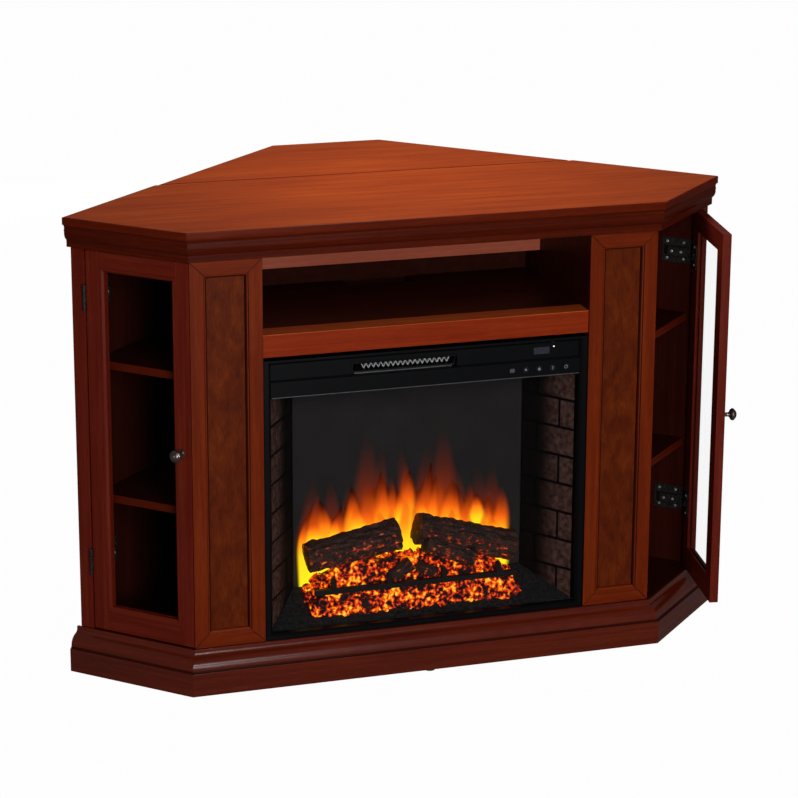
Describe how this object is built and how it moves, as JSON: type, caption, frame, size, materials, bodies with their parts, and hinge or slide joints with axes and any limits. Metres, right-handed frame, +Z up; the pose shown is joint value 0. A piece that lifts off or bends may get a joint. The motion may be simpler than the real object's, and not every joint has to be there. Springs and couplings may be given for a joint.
{
  "type": "corner fireplace media stand",
  "caption": "Corner media stand with a drop leaf, glazed side cabinets, an open bay and an electric firebox.",
  "frame": {"origin": "on the floor, under the glide at the middle of the front plinth, below the front edge of the top", "axes": "+X to the right along the front, +Y back towards the room's corner, +Z up"},
  "size_m": [1.219, 0.7056, 0.819],
  "materials": {
    "cherry_wood": "satin lacquered cherry stain",
    "back_board": "dark printed fibreboard",
    "glide_plastic": "moulded nylon",
    "bright_steel": "zinc plated",
    "clear_glass": "clear polished",
    "knob_bronze": "dark bronze lacquer",
    "hinge_steel": "black plated steel",
    "black_metal": "matt black enamel",
    "black_plastic": "satin black moulding",
    "fire_glass": "clear safety glass",
    "black_rubber": "moulded bush",
    "display_face": "smoked window",
    "board_green": "coated circuit board",
    "fin_aluminium": "bright corrugated strip",
    "plain_steel": "galvanised sheet",
    "wheel_aluminium": "pressed",
    "motor_steel": "plated can",
    "ash_resin": "grey ash texture",
    "brick_resin": "rough brick moulding",
    "screen_acrylic": "smoked translucent sheet",
    "ember_resin": "translucent glowing coals",
    "log_resin": "moulded bark",
    "grate_iron": "matt black",
    "key_plastic": "satin key caps"
  },
  "bodies": {
    "cabinet": {"main_top": "cherry_wood", "crown_moulding": "cherry_wood", "top_frame": "cherry_wood", "plinth_boards": "cherry_wood", "base_rails": "cherry_wood", "cabinet_floor": "cherry_wood", "pilaster_frames": "cherry_wood", "pilaster_panels": "cherry_wood", "partitions": "cherry_wood", "end_posts": "cherry_wood", "wall_panels": "cherry_wood", "media_shelf": "cherry_wood", "shelf_rail": "cherry_wood", "bay_back": "cherry_wood", "side_shelves": "cherry_wood", "back_panel": "back_board", "floor_glides": "glide_plastic", "shelf_pins": "bright_steel", "door_hinge_arms": "hinge_steel", "leaf_hinge_plates": "hinge_steel", "brace_tracks": "hinge_steel", "firebox_shell": "black_metal", "firebox_bezel": "black_plastic", "firebox_glass": "fire_glass", "cord_inlet": "black_rubber", "header_panel": "black_plastic", "display_window": "display_face", "control_board": "board_green", "heater_core": "fin_aluminium", "blower_housing": "plain_steel", "blower_motor": "motor_steel", "fire_tray": "ash_resin", "brick_panels": "brick_resin", "flame_screen": "screen_acrylic", "flame_drive": "motor_steel", "lamp_board": "board_green", "ember_bed": "ember_resin", "log_set": "log_resin", "fire_grate": "grate_iron"},
    "left_door": {"left_door_frame": "cherry_wood", "left_door_glass": "clear_glass", "left_glass_beads": "cherry_wood", "left_door_knob": "knob_bronze", "left_hinge_cups": "hinge_steel"},
    "right_door": {"right_door_frame": "cherry_wood", "right_door_glass": "clear_glass", "right_glass_beads": "cherry_wood", "right_door_knob": "knob_bronze", "right_hinge_cups": "hinge_steel"},
    "drop_leaf": {"drop_leaf": "cherry_wood", "leaf_hinge_straps": "hinge_steel", "brace_ears": "hinge_steel"},
    "leaf_braces": {"leaf_braces": "hinge_steel"},
    "blower_wheel": {"blower_wheel": "wheel_aluminium"},
    "flame_spindle": {"flame_spindle": "bright_steel"},
    "control_key_1": {"control_key_1": "key_plastic"},
    "control_key_2": {"control_key_2": "key_plastic"},
    "control_key_3": {"control_key_3": "key_plastic"},
    "control_key_4": {"control_key_4": "key_plastic"},
    "control_key_5": {"control_key_5": "key_plastic"}
  },
  "joints": [
    {"name": "left_door_hinge", "type": "hinge", "parent": "cabinet", "child": "left_door", "pos_m": [-0.56826, 0.16008, 0.443], "axis": [0, 0, -1], "range_deg": [0, 95]},
    {"name": "right_door_hinge", "type": "hinge", "parent": "cabinet", "child": "right_door", "pos_m": [0.56826, 0.16008, 0.443], "axis": [0, 0, 1], "range_deg": [-36, 59]},
    {"name": "leaf_fold", "type": "hinge", "parent": "cabinet", "child": "drop_leaf", "pos_m": [0, 0.3795, 0.8015], "axis": [-1, 0, 0], "range_deg": [0, 90]},
    {"name": "brace_fold", "type": "hinge", "parent": "drop_leaf", "child": "leaf_braces", "pos_m": [0, 0.5295, 0.796], "axis": [1, 0, 0], "range_deg": [0, 140]},
    {"name": "blower_spin", "type": "hinge", "parent": "cabinet", "child": "blower_wheel", "pos_m": [0, 0.1, 0.5455], "axis": [1, 0, 0], "continuous": true},
    {"name": "flame_spin", "type": "hinge", "parent": "cabinet", "child": "flame_spindle", "pos_m": [0, 0.186, 0.148], "axis": [1, 0, 0], "continuous": true},
    {"name": "control_key_1_press", "type": "slide", "parent": "cabinet", "child": "control_key_1", "axis": [0, 1, 0], "range_m": [0, 0.0008], "stiffness_N_per_m": 400},
    {"name": "control_key_2_press", "type": "slide", "parent": "cabinet", "child": "control_key_2", "axis": [0, 1, 0], "range_m": [0, 0.0008], "stiffness_N_per_m": 400},
    {"name": "control_key_3_press", "type": "slide", "parent": "cabinet", "child": "control_key_3", "axis": [0, 1, 0], "range_m": [0, 0.0008], "stiffness_N_per_m": 400},
    {"name": "control_key_4_press", "type": "slide", "parent": "cabinet", "child": "control_key_4", "axis": [0, 1, 0], "range_m": [0, 0.0008], "stiffness_N_per_m": 400},
    {"name": "control_key_5_press", "type": "slide", "parent": "cabinet", "child": "control_key_5", "axis": [0, 1, 0], "range_m": [0, 0.0008], "stiffness_N_per_m": 400}
  ],
  "couplings": [
    {"joint": "brace_fold", "follows": "leaf_fold", "ratio": 1.5554}
  ]
}
